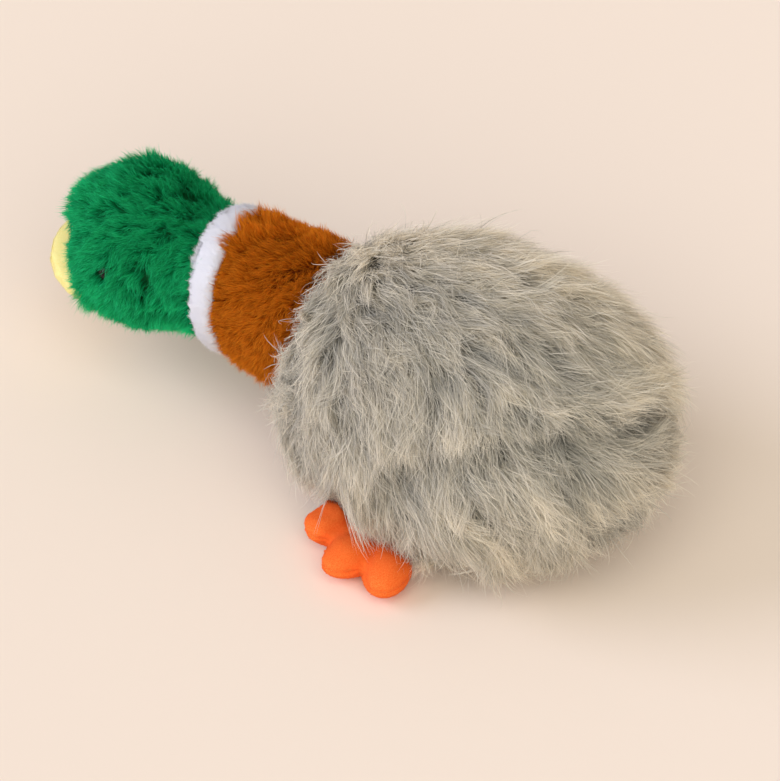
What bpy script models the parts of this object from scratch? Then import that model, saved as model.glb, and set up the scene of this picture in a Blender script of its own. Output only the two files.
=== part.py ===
"""A plush duck toy: fur body with a squeaker, stuffed neck and head, a padded bill and two flat feet.

The duck faces -Y, its left side is +X, and it lies on the plane Z = 0. The origin is below the middle of
its length and width. All lengths are in metres.
"""

import math

import bmesh
import bpy
from mathutils import Matrix, Vector

# Fabric and clearances
GAP = 0.0003
OVERRUN = 0.05
MERGE = 0.00005
FUR_COVER = 0.0045
PILE_COVER = 0.0045
SMOOTH_COVER = 0.0014

# Body
BODY_LENGTH = 0.184
BODY_WIDTH = 0.134
BODY_HEIGHT = 0.128
TAIL_FULLNESS_SHARE = 0.09
BELLY_FLATNESS_SHARE = 0.65
KEEL_FORWARD = 0.020
FLAT_DEPTH = 0.0005
BACK_SEAM_RISE = 0.026

# Neck, from the body's centre
NECK_FORWARD = 0.087
NECK_RISE = 0.0045
NECK_BALL_RADIUS = 0.034
NECK_BALL_REACH = 0.008
NECK_HEM_BACK = 0.0195
NECK_LENGTH = 0.038
NECK_FRONT_RADIUS = 0.0305

# Collar
COLLAR_WIDTH = 0.0105
COLLAR_RADIUS = 0.0315
COLLAR_PILE_RISE = 0.0006
COLLAR_PITCH = math.radians(12.5)
COLLAR_DROP = 0.0018

# Head, from the middle of the collar's front edge
HEAD_BALL_RADIUS = 0.028
HEAD_BALL_REACH = 0.0088
HEAD_HEM_FORWARD = 0.002
HEAD_RADIUS = 0.036
HEAD_FACE_LENGTH = 0.037
HEAD_REACH = 0.043
HEAD_PITCH = math.radians(2.5)

# Bill, from the head's centre
BILL_LENGTH = 0.056
BILL_WIDTH = 0.058
BILL_THICKNESS = 0.019
BILL_FORWARD = 0.0223
BILL_DROP = 0.0216
BILL_RISE = math.radians(14)
BILL_SPREAD_SHARE = 0.06
BILL_THINNING_SHARE = 0.2

# Eyes, from the head's centre
EYE_RADIUS = 0.004
EYE_DOME = 0.003
EYE_SINK = 0.0035
EYE_FORWARD = 0.0035
EYE_RISE = math.radians(12.4)
EYE_SHANK_RADIUS = 0.0015
EYE_SHANK_LENGTH = 0.0065
WASHER_RADIUS = 0.0046
WASHER_THICKNESS = 0.001
WASHER_CLEARANCE = 0.0001

# Feet
FOOT_SEAM_DEPTH_SHARE = 0.70
FOOT_SEAM_BACK_SHARE = 0.04
FOOT_SEAM_HALF_SHARE = 0.15
FOOT_SEAM_THICKNESS = 0.005
FOOT_TURN = math.radians(18)
FOOT_HEEL_BACK = 0.010
FOOT_SWELL_LENGTH = 0.020
TOE_REACH = 0.026
TOE_HALF_LENGTH = 0.0175
TOE_HALF_WIDTH = 0.0122
TOE_HEIGHT = 0.0175
TOE_SPREAD = math.radians(38)
TOE_FLAT = 0.0004
PALM_REACH = 0.014
PALM_HALF_LENGTH = 0.014
PALM_HALF_WIDTH = 0.022
FOOT_CLEARANCE = 0.0004
FOOT_FILLING_GAP = 0.0006
FOOT_SEAM_ALLOWANCE = 0.004

# Squeaker
SQUEAKER_RADIUS = 0.020
SQUEAKER_HEIGHT = 0.022
SQUEAKER_BASE = 0.0025
SQUEAKER_CROWN = 0.002
SQUEAKER_CROWN_RISE = 0.0015
SQUEAKER_WALL = 0.0009
SQUEAKER_FOLD_DEPTH = 0.003
SQUEAKER_FOLDS = 3
SQUEAKER_RIM = 0.001
REED_RADIUS = 0.004
REED_BORE = 0.0015
REED_LENGTH = 0.0085
REED_SLEEVE = 0.0018
REED_SLEEVE_RISE = 0.005

# Faceting
BODY_SEGMENTS = 26
BODY_RINGS = 16
NECK_SEGMENTS = 22
BALL_STEPS = 4
HEAD_STEPS = 4
BILL_SEGMENTS = 14
BILL_RINGS = 9
TOE_SEGMENTS = 10
TOE_RINGS = 8
SMALL_SEGMENTS = 12
SQUEAKER_SEGMENTS = 18

LEFT, RIGHT = 1, -1
FORWARD = Vector((0, -1, 0))
UP = Vector((0, 0, 1))


def clear_scene():
    for item in list(bpy.data.objects):
        bpy.data.objects.remove(item, do_unlink=True)
    for group in list(bpy.data.collections):
        bpy.data.collections.remove(group)


clear_scene()
PARTS = bpy.data.collections.new("plush_duck")
CUTTERS = bpy.data.collections.new("cutters")
bpy.context.scene.collection.children.link(PARTS)
bpy.context.scene.collection.children.link(CUTTERS)


def material(name, colour, roughness):
    made = bpy.data.materials.new(name)
    made.use_nodes = True
    shader = made.node_tree.nodes["Principled BSDF"]
    shader.inputs["Base Color"].default_value = (*colour, 1)
    shader.inputs["Roughness"].default_value = roughness
    shader.inputs["Metallic"].default_value = 0
    return made


GREY_FUR = material("grey_fur", (0.39, 0.34, 0.26), 0.9)
BROWN_PLUSH = material("brown_plush", (0.36, 0.11, 0.01), 0.9)
WHITE_PLUSH = material("white_plush", (0.80, 0.79, 0.82), 0.9)
GREEN_PLUSH = material("green_plush", (0.01, 0.20, 0.06), 0.9)
YELLOW_PLUSH = material("yellow_plush", (0.92, 0.80, 0.35), 0.8)
ORANGE_PLUSH = material("orange_plush", (0.94, 0.18, 0.03), 0.8)
FIBREFILL = material("fibrefill", (0.85, 0.85, 0.83), 1.0)
BLACK_EYE = material("black_eye", (0.01, 0.01, 0.01), 0.15)
CLEAR_PLASTIC = material("squeaker_plastic", (0.80, 0.82, 0.84), 0.4)


def turned_to(axis):
    """The rotation that carries the Z axis onto a direction."""
    return UP.rotation_difference(axis).to_matrix().to_4x4()


def placed(point, axis=UP):
    return Matrix.Translation(point) @ turned_to(axis)


# Where things are. Each is worked out from the sizes above.


def body_reach():
    """How far the bill's tip lies ahead of the body's centre."""
    along = BILL_LENGTH / 2 * math.cos(BILL_RISE)
    across = BILL_THICKNESS / 2 * math.sin(BILL_RISE) * (1 - BILL_THINNING_SHARE)
    head = HEAD_REACH * math.cos(HEAD_PITCH)
    return NECK_FORWARD + NECK_LENGTH + head + BILL_FORWARD + math.hypot(along, across)


BODY_CENTRE = Vector((0, (body_reach() - BODY_LENGTH / 2) / 2, BODY_HEIGHT / 2 - FLAT_DEPTH))
NECK_PIVOT = BODY_CENTRE + NECK_FORWARD * FORWARD + NECK_RISE * UP
HEAD_PIVOT = NECK_PIVOT + NECK_LENGTH * FORWARD - COLLAR_DROP * UP
COLLAR_AXIS = Vector((0, -math.cos(COLLAR_PITCH), -math.sin(COLLAR_PITCH)))
HEAD_AXIS = Vector((0, -math.cos(HEAD_PITCH), -math.sin(HEAD_PITCH)))
HEAD_CENTRE = HEAD_PIVOT + HEAD_REACH * HEAD_AXIS
BILL_CENTRE = HEAD_CENTRE + BILL_FORWARD * FORWARD - BILL_DROP * UP
EYE_CENTRE = HEAD_CENTRE + EYE_FORWARD * HEAD_AXIS
EYE_SEAT = HEAD_RADIUS - EYE_SINK
SQUEAKER_FOOT = BODY_CENTRE - SQUEAKER_HEIGHT / 2 * UP


def body_surface(direction, inset=0.0):
    """The point of the body's outside, or of a layer inset below it, in a direction from its centre."""
    low = max(0.0, -direction.z)
    drop = low + BELLY_FLATNESS_SHARE * low**2 * (1 - low)
    rise = direction.z if direction.z > 0 else -drop
    lean = KEEL_FORWARD * drop * (1 - direction.y**2)
    across = (BODY_WIDTH / 2 - inset) * direction.x * (1 + TAIL_FULLNESS_SHARE * direction.y)
    along = (BODY_LENGTH / 2 - inset) * direction.y - lean
    return BODY_CENTRE + Vector((across, along, (BODY_HEIGHT / 2 - inset) * rise))


# Making and cutting


def from_bmesh(name, shape, group=CUTTERS):
    mesh = bpy.data.meshes.new(name)
    shape.to_mesh(mesh)
    shape.free()
    made = bpy.data.objects.new(name, mesh)
    group.objects.link(made)
    if group is CUTTERS:
        made.hide_render = True
        made.display_type = "WIRE"
    return made


def ball(name, segments, rings, shape_point):
    """A sphere with its poles on the Y axis, each of whose points goes where shape_point puts it.

    It is rolled by half a segment, so that a seam at mid height runs between its points.
    """
    shape = bmesh.new()
    bmesh.ops.create_uvsphere(shape, u_segments=segments, v_segments=rings, radius=1)
    bmesh.ops.rotate(shape, verts=shape.verts, matrix=Matrix.Rotation(math.pi / segments, 3, "Z"))
    bmesh.ops.rotate(shape, verts=shape.verts, matrix=Matrix.Rotation(math.pi / 2, 3, "X"))
    for point in shape.verts:
        point.co = shape_point(point.co.copy())
    return from_bmesh(name, shape)


def half_space(name, point, axis):
    """A block that fills everything on the far side of a plane."""
    shape = bmesh.new()
    side = BODY_LENGTH + BODY_LENGTH
    bmesh.ops.create_cube(shape, size=1)
    bmesh.ops.scale(shape, verts=shape.verts, vec=(side, side, side))
    bmesh.ops.translate(shape, verts=shape.verts, vec=side / 2 * UP)
    bmesh.ops.transform(shape, verts=shape.verts, matrix=placed(point, axis))
    return from_bmesh(name, shape)


def evaluated(item):
    bpy.context.view_layer.update()
    graph = bpy.context.evaluated_depsgraph_get()
    return bpy.data.meshes.new_from_object(item.evaluated_get(graph))


def turned(name, profile, point, axis, segments, closed=False, group=CUTTERS):
    """A turned shape. The profile's points are (radius, height along the axis), down its outer side."""
    shape = bmesh.new()
    points = [shape.verts.new((radius, 0, height)) for radius, height in profile]
    for first, second in zip(points, points[1:]):
        shape.edges.new((first, second))
    if closed:
        shape.edges.new((points[-1], points[0]))
    made = from_bmesh(name, shape, group)
    screw = made.modifiers.new("turn", "SCREW")
    screw.steps = segments
    screw.render_steps = segments
    screw.use_merge_vertices = True
    screw.merge_threshold = MERGE
    mesh = evaluated(made)
    made.modifiers.clear()
    made.data = mesh
    mesh.transform(placed(point, axis))
    return made


def cylinder(name, radius, low, high, point, axis, segments=SMALL_SEGMENTS):
    profile = [(0, high), (radius, high), (radius, low), (0, low)]
    return turned(name, profile, point, axis, segments)


def round_socket(radius, step_angle):
    """The radius of a faceted socket whose flats, and not only its corners, clear a ball."""
    return (radius + GAP) / (math.cos(math.pi / NECK_SEGMENTS) * math.cos(step_angle / 2))


def sphere(name, ball_radius, centre):
    """The space that a ball turns in."""
    steps = 3 * BALL_STEPS
    radius = round_socket(ball_radius, math.pi / steps)
    angles = (math.pi * step / steps for step in range(steps + 1))
    profile = [(radius * math.sin(angle), radius * math.cos(angle)) for angle in angles]
    return turned(name, profile, centre, FORWARD, NECK_SEGMENTS)


def cut(item, *cutters, operation="DIFFERENCE"):
    for cutter in cutters:
        boolean = item.modifiers.new(cutter.name, "BOOLEAN")
        boolean.operation = operation
        boolean.solver = "EXACT"
        boolean.object = cutter
    return item


def copied(name, cutter):
    """A new part with a cutter's shape."""
    made = bpy.data.objects.new(name, cutter.data.copy())
    PARTS.objects.link(made)
    return made


def finished(item, surface):
    """Gives a part its material and smooth shading."""
    item.data.materials.clear()
    item.data.materials.append(surface)
    item.data.shade_smooth()
    item.data.set_sharp_from_angle(angle=math.radians(50))
    return item


# Body: a back panel and a belly panel, two handfuls of stuffing and the squeaker between them


def body_form(name, inset):
    return ball(name, BODY_SEGMENTS, BODY_RINGS, lambda point: body_surface(point, inset))


def make_body():
    outside = body_form("body_outside", 0)
    lining = body_form("body_lining", FUR_COVER)
    filling = body_form("body_filling", FUR_COVER + GAP)
    socket = sphere("neck_socket", NECK_BALL_RADIUS, NECK_PIVOT)
    floor = half_space("floor", Vector(), -UP)
    seam = BODY_CENTRE + BACK_SEAM_RISE * UP
    below_seam = half_space("below_seam", seam + GAP / 2 * UP, -UP)
    above_seam = half_space("above_seam", seam - GAP / 2 * UP, UP)
    middle_low = half_space("below_middle", BODY_CENTRE + GAP / 2 * UP, -UP)
    middle_high = half_space("above_middle", BODY_CENTRE - GAP / 2 * UP, UP)
    bottom, top = -GAP, SQUEAKER_HEIGHT + SQUEAKER_CROWN_RISE + GAP
    pocket = cylinder(
        "squeaker_pocket", SQUEAKER_RADIUS + GAP, bottom, top, SQUEAKER_FOOT, UP, SQUEAKER_SEGMENTS
    )

    finished(cut(copied("back_panel", outside), lining, below_seam, socket), GREY_FUR)
    finished(cut(copied("belly_panel", outside), lining, above_seam, socket, floor), GREY_FUR)
    finished(cut(copied("back_stuffing", filling), middle_low, socket, pocket), FIBREFILL)
    finished(cut(copied("belly_stuffing", filling), middle_high, socket, pocket), FIBREFILL)


def bellows_profile(low, high):
    """Pleats down the outer side, then up the inner side one wall thickness in."""
    steps = 2 * SQUEAKER_FOLDS
    outer = []
    for step in range(steps + 1):
        radius = SQUEAKER_RADIUS - SQUEAKER_RIM - SQUEAKER_FOLD_DEPTH * (step % 2)
        outer.append((radius, high - (high - low) * step / steps))
    inner = [(radius - SQUEAKER_WALL, height) for radius, height in reversed(outer)]
    return outer + inner


def make_squeaker():
    base_top = SQUEAKER_BASE
    crown_bottom = SQUEAKER_HEIGHT - SQUEAKER_CROWN
    hole = REED_RADIUS + GAP
    sleeve = hole + REED_SLEEVE
    sleeve_top = base_top + REED_SLEEVE_RISE
    base = [
        (hole, sleeve_top),
        (sleeve, sleeve_top),
        (sleeve, base_top),
        (SQUEAKER_RADIUS, base_top),
        (SQUEAKER_RADIUS, 0),
        (hole, 0),
    ]
    crown = [
        (0, SQUEAKER_HEIGHT + SQUEAKER_CROWN_RISE),
        (SQUEAKER_RADIUS / 2, SQUEAKER_HEIGHT + SQUEAKER_CROWN_RISE / 2),
        (SQUEAKER_RADIUS, SQUEAKER_HEIGHT - SQUEAKER_CROWN / 2),
        (SQUEAKER_RADIUS, crown_bottom),
        (0, crown_bottom),
    ]
    reed = [(REED_BORE, REED_LENGTH), (REED_RADIUS, REED_LENGTH), (REED_RADIUS, 0), (REED_BORE, 0)]
    bellows = bellows_profile(base_top + GAP, crown_bottom - GAP)
    place = (SQUEAKER_FOOT, UP, SQUEAKER_SEGMENTS)
    finished(turned("squeaker_base", base, *place, closed=True, group=PARTS), CLEAR_PLASTIC)
    finished(turned("squeaker_crown", crown, *place, group=PARTS), CLEAR_PLASTIC)
    finished(turned("squeaker_reed", reed, *place, closed=True, group=PARTS), CLEAR_PLASTIC)
    finished(turned("squeaker_bellows", bellows, *place, closed=True, group=PARTS), CLEAR_PLASTIC)


# Neck: a rounded root that turns in the body, a brown cover, and the white collar at its front


def arc(radius, high, low, steps):
    """Points of a ball's side between two heights, from the higher one down."""
    first, last = math.acos(high / radius), math.acos(low / radius)
    angles = (first + (last - first) * step / steps for step in range(steps + 1))
    return [(radius * math.sin(angle), radius * math.cos(angle)) for angle in angles]


def barrel(inset):
    """The neck's side ahead of its root, down from past the collar to where the root's ball takes over."""
    radius = NECK_BALL_RADIUS - inset
    join = math.sqrt(radius**2 - NECK_BALL_REACH**2)
    front = NECK_FRONT_RADIUS - inset
    slope = (front - join) / (NECK_LENGTH - NECK_BALL_REACH)
    middle = NECK_BALL_REACH + (NECK_LENGTH - NECK_BALL_REACH) / 2
    return [(front, NECK_LENGTH), (join + slope * (middle - NECK_BALL_REACH), middle)]


def neck_cover_profile():
    outer = barrel(0) + arc(NECK_BALL_RADIUS, NECK_BALL_REACH, -NECK_HEM_BACK, BALL_STEPS)
    lining = NECK_BALL_RADIUS - PILE_COVER
    inner = barrel(PILE_COVER) + arc(lining, NECK_BALL_REACH, -NECK_HEM_BACK, BALL_STEPS)
    return outer + inner[::-1]


def neck_stuffing_profile():
    inset = PILE_COVER + GAP
    hem = -NECK_HEM_BACK - GAP
    front = [(0, NECK_LENGTH)] + barrel(inset)
    side = arc(NECK_BALL_RADIUS - inset, NECK_BALL_REACH, hem, BALL_STEPS)
    return front + side + arc(NECK_BALL_RADIUS, hem, -NECK_BALL_RADIUS, BALL_STEPS)


def collar_profile():
    """A short sleeve that is slightly fuller in the middle, hollowed by the ball at the head's root."""
    hollow = round_socket(HEAD_BALL_RADIUS, math.asin(COLLAR_WIDTH / HEAD_BALL_RADIUS) / 2)
    rise = COLLAR_RADIUS + COLLAR_PILE_RISE
    outer = [(COLLAR_RADIUS, 0), (rise, -COLLAR_WIDTH / 2), (COLLAR_RADIUS, -COLLAR_WIDTH)]
    return outer + arc(hollow, 0, -COLLAR_WIDTH, 2)[::-1]


def make_neck():
    place = (NECK_PIVOT, FORWARD, NECK_SEGMENTS)
    head_socket = sphere("head_socket", HEAD_BALL_RADIUS, HEAD_PIVOT)
    collar_back = HEAD_PIVOT - (COLLAR_WIDTH + GAP) * COLLAR_AXIS
    collar_space = half_space("collar_space", collar_back, COLLAR_AXIS)
    cover = turned("neck_cover", neck_cover_profile(), *place, closed=True, group=PARTS)
    stuffing = turned("neck_stuffing", neck_stuffing_profile(), *place, group=PARTS)
    collar_place = (HEAD_PIVOT, COLLAR_AXIS, NECK_SEGMENTS)
    collar = turned("collar", collar_profile(), *collar_place, closed=True, group=PARTS)
    finished(cut(cover, collar_space), BROWN_PLUSH)
    finished(cut(stuffing, collar_space, head_socket), FIBREFILL)
    finished(collar, WHITE_PLUSH)


# Head: two cheek panels over stuffing whose root is a ball in the collar


def head_side(inset):
    """The head's outline from its front pole back to the hem, as (radius, distance from the collar)."""
    radius = HEAD_RADIUS - inset
    face = HEAD_FACE_LENGTH - inset
    front = [
        (radius * math.sin(angle), HEAD_REACH + face * math.cos(angle))
        for angle in (math.pi / 2 * step / HEAD_STEPS for step in range(HEAD_STEPS + 1))
    ]
    ball_radius = HEAD_BALL_RADIUS - inset
    join = math.sqrt(ball_radius**2 - HEAD_BALL_REACH**2)
    back = []
    for step in range(1, HEAD_STEPS):
        share = 1 - step / HEAD_STEPS
        height = HEAD_BALL_REACH + (HEAD_REACH - HEAD_BALL_REACH) * share
        back.append((join + (radius - join) * share * share * (3 - 2 * share), height))
    return front + back


def head_cover_profile():
    hem = HEAD_HEM_FORWARD
    outer = head_side(0) + arc(HEAD_BALL_RADIUS, HEAD_BALL_REACH, hem, 2)
    lining = HEAD_BALL_RADIUS - PILE_COVER
    inner = head_side(PILE_COVER) + arc(lining, HEAD_BALL_REACH, hem, 2)
    return outer + inner[::-1]


def head_stuffing_profile():
    inset = PILE_COVER + GAP
    hem = HEAD_HEM_FORWARD - GAP
    side = head_side(inset) + arc(HEAD_BALL_RADIUS - inset, HEAD_BALL_REACH, hem, 2)
    return side + arc(HEAD_BALL_RADIUS, hem, -HEAD_BALL_RADIUS, BALL_STEPS + BALL_STEPS // 2)


def eye_axis(side):
    return Vector((side * math.cos(EYE_RISE), 0, math.sin(EYE_RISE)))


def make_eye(name, side):
    """A domed eye on a shank that goes through the cover, held by a washer inside it."""
    place = (EYE_CENTRE, eye_axis(side), SMALL_SEGMENTS)
    dome = [
        (EYE_RADIUS * math.sin(angle), EYE_SEAT + EYE_DOME * math.cos(angle))
        for angle in (math.pi / 2 * step / BALL_STEPS for step in range(BALL_STEPS + 1))
    ]
    end = EYE_SEAT - EYE_SHANK_LENGTH
    shank = [(EYE_SHANK_RADIUS, EYE_SEAT), (EYE_SHANK_RADIUS, end), (0, end)]
    finished(turned(f"{name}_eye", dome + shank, *place, group=PARTS), BLACK_EYE)

    facets = math.cos(math.pi / NECK_SEGMENTS) * math.cos(math.pi / (4 * HEAD_STEPS))
    ahead = (EYE_FORWARD + WASHER_RADIUS) / (HEAD_FACE_LENGTH - PILE_COVER)
    lining = (HEAD_RADIUS - PILE_COVER) * math.sqrt(1 - ahead**2) * facets
    top = math.sqrt(lining**2 - WASHER_RADIUS**2) - GAP
    bore = EYE_SHANK_RADIUS + WASHER_CLEARANCE
    low = top - WASHER_THICKNESS
    ring = [(bore, top), (WASHER_RADIUS, top), (WASHER_RADIUS, low), (bore, low)]
    washer = turned(f"{name}_eye_washer", ring, *place, closed=True, group=PARTS)
    return finished(washer, CLEAR_PLASTIC)


def eye_cutters(name, side):
    """The space that an eye and its shank take in the cover, and the washer's in the stuffing."""
    place = (EYE_CENTRE, eye_axis(side))
    end = EYE_SEAT - EYE_SHANK_LENGTH - GAP
    past = HEAD_RADIUS + OVERRUN
    seat = cylinder(f"{name}_eye_seat", EYE_RADIUS + GAP, EYE_SEAT - GAP, past, *place)
    hole = cylinder(f"{name}_eye_hole", EYE_SHANK_RADIUS + GAP, end, past, *place)
    pocket = cylinder(f"{name}_washer_pocket", WASHER_RADIUS + GAP, end, past, *place)
    return seat, hole, pocket


def make_head():
    place = (HEAD_PIVOT, HEAD_AXIS, NECK_SEGMENTS)
    cover = turned("head_cover", head_cover_profile(), *place)
    stuffing = turned("head_stuffing", head_stuffing_profile(), *place, group=PARTS)
    for name, side in (("left", LEFT), ("right", RIGHT)):
        make_eye(name, side)
        seat, hole, pocket = eye_cutters(name, side)
        centre = side * GAP / 2 * Vector((1, 0, 0))
        other_side = half_space(f"not_{name}", centre, Vector((-side, 0, 0)))
        finished(cut(copied(f"head_{name}_panel", cover), other_side, seat, hole), GREEN_PLUSH)
        cut(stuffing, pocket)
    finished(stuffing, FIBREFILL)


# Bill: an upper and a lower half round a thin filling, sewn to the face


def bill_surface(direction, inset):
    ahead = -direction.y
    width = (BILL_WIDTH / 2 - inset) * (1 + BILL_SPREAD_SHARE * ahead)
    height = (BILL_THICKNESS / 2 - inset) * (1 - BILL_THINNING_SHARE * ahead)
    length = BILL_LENGTH / 2 - inset
    return Vector((width * direction.x, length * direction.y, height * direction.z))


def make_bill():
    tilt = Matrix.Rotation(-BILL_RISE, 4, "X")
    place = Matrix.Translation(BILL_CENTRE) @ tilt
    face = turned(
        "face", [(radius, height) for radius, height in head_side(-GAP)] + [(0, 0)],
        HEAD_PIVOT, HEAD_AXIS, NECK_SEGMENTS,
    )
    side_up = tilt.to_3x3() @ UP

    def form(name, inset):
        return ball(name, BILL_SEGMENTS, BILL_RINGS, lambda point: place @ bill_surface(point, inset))

    outside = form("bill_outside", 0)
    lining = form("bill_lining", SMOOTH_COVER)
    filling = form("bill_filling", SMOOTH_COVER + GAP)
    below = half_space("below_bill_seam", BILL_CENTRE + GAP / 2 * side_up, -side_up)
    above = half_space("above_bill_seam", BILL_CENTRE - GAP / 2 * side_up, side_up)
    finished(cut(copied("bill_upper", outside), lining, below, face), YELLOW_PLUSH)
    finished(cut(copied("bill_lower", outside), lining, above, face), YELLOW_PLUSH)
    finished(cut(copied("bill_stuffing", filling), face), FIBREFILL)


# Feet: a top, a sole and a thin filling each, with three toes, sewn to the belly along their root


def foot_seam():
    """The middle of the left foot's seam on the belly, and the level way out from the belly there."""
    down = -FOOT_SEAM_DEPTH_SHARE

    def on_belly(along):
        return body_surface(Vector((math.sqrt(1 - down**2 - along**2), along, down)))

    front = on_belly(FOOT_SEAM_BACK_SHARE - FOOT_SEAM_HALF_SHARE)
    back = on_belly(FOOT_SEAM_BACK_SHARE + FOOT_SEAM_HALF_SHARE)
    run = (back - front).normalized()
    outward = Vector((run.y, -run.x, 0))
    return on_belly(FOOT_SEAM_BACK_SHARE) + FOOT_CLEARANCE * outward, outward


def way_out_in_blank():
    """The way out from the belly as the blank has it, whose toes point along +X."""
    outward = foot_seam()[1]
    return Matrix.Rotation(FOOT_TURN, 3, "Z") @ outward


def foot_blank(name, inset):
    """A palm and three toes in one flat-lying form. Its heel is the origin and its toes point along +X."""
    half_height = TOE_HEIGHT / 2 - inset

    def lobe(label, reach, angle, half_length, half_width):
        turn = Matrix.Rotation(angle, 3, "Z")

        def point_at(point):
            along = reach - (half_length - inset) * point.y
            return turn @ Vector((along, (half_width - inset) * point.x, half_height * point.z))

        return ball(f"{name}_{label}", TOE_SEGMENTS, TOE_RINGS, point_at)

    palm = lobe("palm", PALM_REACH, 0, PALM_HALF_LENGTH, PALM_HALF_WIDTH)
    for step in (-1, 0, 1):
        toe = lobe(f"toe_{step + 2}", TOE_REACH, step * TOE_SPREAD, TOE_HALF_LENGTH, TOE_HALF_WIDTH)
        cut(palm, toe, operation="UNION")
    mesh = evaluated(palm)
    palm.modifiers.clear()
    palm.data = mesh
    return palm


def settle(item, side):
    """Brings a foot's piece from its blank to its place: thin at the seam, plump at the toes."""
    mesh = evaluated(item)
    item.modifiers.clear()
    item.data = mesh
    seam = foot_seam()[0]
    way_out = way_out_in_blank()
    turn = Matrix.Rotation(-FOOT_TURN, 3, "Z")
    thin = FOOT_SEAM_THICKNESS / 2
    middle = seam.z - thin
    for vertex in mesh.vertices:
        height = vertex.co.z
        flat = Vector((vertex.co.x - FOOT_HEEL_BACK, vertex.co.y, 0))
        share = min(max(flat.dot(way_out) / FOOT_SWELL_LENGTH, 0), 1)
        share = share * share * (3 - 2 * share)
        plump = TOE_HEIGHT - TOE_FLAT - middle if height > 0 else middle + TOE_FLAT
        swell = thin + (plump - thin) * share
        spot = seam + turn @ flat
        vertex.co = Vector((side * spot.x, spot.y, middle + height / (TOE_HEIGHT / 2) * swell))
    if side == RIGHT:
        mesh.flip_normals()


def make_feet():
    outside = foot_blank("foot_outside", 0)
    lining = foot_blank("foot_lining", SMOOTH_COVER)
    filling = foot_blank("foot_filling", SMOOTH_COVER + FOOT_FILLING_GAP)
    way_out = way_out_in_blank()
    seam = Vector((FOOT_HEEL_BACK, 0, 0))
    root = half_space("foot_root", seam, -way_out)
    seam_edge = half_space("foot_seam_edge", seam + FOOT_SEAM_ALLOWANCE * way_out, -way_out)
    below = half_space("below_foot_seam", GAP / 2 * UP, -UP)
    above = half_space("above_foot_seam", -GAP / 2 * UP, UP)
    floor = bpy.data.objects["floor"]
    for name, side in (("left", LEFT), ("right", RIGHT)):
        top = cut(copied(f"{name}_foot_top", outside), lining, below, root)
        sole = cut(copied(f"{name}_foot_sole", outside), lining, above, root)
        stuffing = cut(copied(f"{name}_foot_stuffing", filling), seam_edge)
        for item, surface in ((top, ORANGE_PLUSH), (sole, ORANGE_PLUSH), (stuffing, FIBREFILL)):
            settle(item, side)
            finished(item, surface)
        cut(sole, floor)


# Joints: each moving group hangs from an empty on its own axis


def pivot(name, point, parent=None):
    made = bpy.data.objects.new(name, None)
    made.location = point if parent is None else point - parent.matrix_world.translation
    made.parent = parent
    PARTS.objects.link(made)
    bpy.context.view_layer.update()
    return made


def hang(parent, *names):
    for name in names:
        item = bpy.data.objects[name]
        item.parent = parent
        item.matrix_parent_inverse = parent.matrix_world.inverted()


def make_pivots():
    neck = pivot("neck_pivot", NECK_PIVOT)
    head = pivot("head_pivot", HEAD_PIVOT, neck)
    crown = pivot("squeaker_travel", SQUEAKER_FOOT + SQUEAKER_HEIGHT * UP)
    hang(neck, "neck_cover", "neck_stuffing", "collar")
    hang(head, "head_left_panel", "head_right_panel", "head_stuffing")
    hang(head, "bill_upper", "bill_lower", "bill_stuffing")
    hang(head, "left_eye", "right_eye", "left_eye_washer", "right_eye_washer")
    hang(crown, "squeaker_crown")
    seam, _ = foot_seam()
    for name, side in (("left", LEFT), ("right", RIGHT)):
        foot = pivot(f"{name}_foot_pivot", Vector((side * seam.x, seam.y, seam.z)))
        hang(foot, f"{name}_foot_top", f"{name}_foot_sole", f"{name}_foot_stuffing")


make_body()
make_squeaker()
make_neck()
make_head()
make_bill()
make_feet()
make_pivots()
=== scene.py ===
"""Looks for the plush duck: real strands of fur and plush over soft covers, on a plain pale floor.

The duck faces -Y, its left side is +X and it lies on the plane Z = 0. All lengths are in metres. Each
soft cover is the outside of its CAD solids, smoothed and moved in or out, and its fur grows from that cover.
Guide strands follow a combing direction, and every other strand follows the guides near it.
"""

import math

import bmesh
import bpy
import numpy as np
from mathutils import Matrix, Vector
from mathutils.bvhtree import BVHTree
from mathutils.kdtree import KDTree


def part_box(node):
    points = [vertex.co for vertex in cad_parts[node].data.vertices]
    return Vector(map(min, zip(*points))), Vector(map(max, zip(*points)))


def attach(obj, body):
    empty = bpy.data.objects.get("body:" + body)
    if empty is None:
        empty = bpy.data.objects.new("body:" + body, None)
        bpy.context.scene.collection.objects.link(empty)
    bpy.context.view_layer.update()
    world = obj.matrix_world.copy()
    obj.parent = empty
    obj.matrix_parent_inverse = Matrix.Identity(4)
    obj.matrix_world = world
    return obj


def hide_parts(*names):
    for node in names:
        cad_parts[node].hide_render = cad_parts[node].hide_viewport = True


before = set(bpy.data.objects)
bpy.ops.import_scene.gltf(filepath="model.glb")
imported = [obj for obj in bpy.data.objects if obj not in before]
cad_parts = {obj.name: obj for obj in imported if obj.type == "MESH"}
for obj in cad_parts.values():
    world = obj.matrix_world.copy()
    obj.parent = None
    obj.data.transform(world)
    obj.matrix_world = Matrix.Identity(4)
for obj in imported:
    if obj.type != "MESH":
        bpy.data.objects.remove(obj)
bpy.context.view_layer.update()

MM = 0.001
SEED = 7

# Picture: how the photograph sees the duck
PICTURE_SIZE = (780, 781)
PIXEL = 0.44 * MM
PICTURE_POINT = (472, 395)
PICTURE_PLACE = Vector((0, 64.5, 65)) * MM
AZIMUTH = math.radians(124)
ELEVATION = math.radians(45)
CAMERA_DISTANCE = 8
CAMERA_REACH = 40
SENSOR = 36

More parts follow.
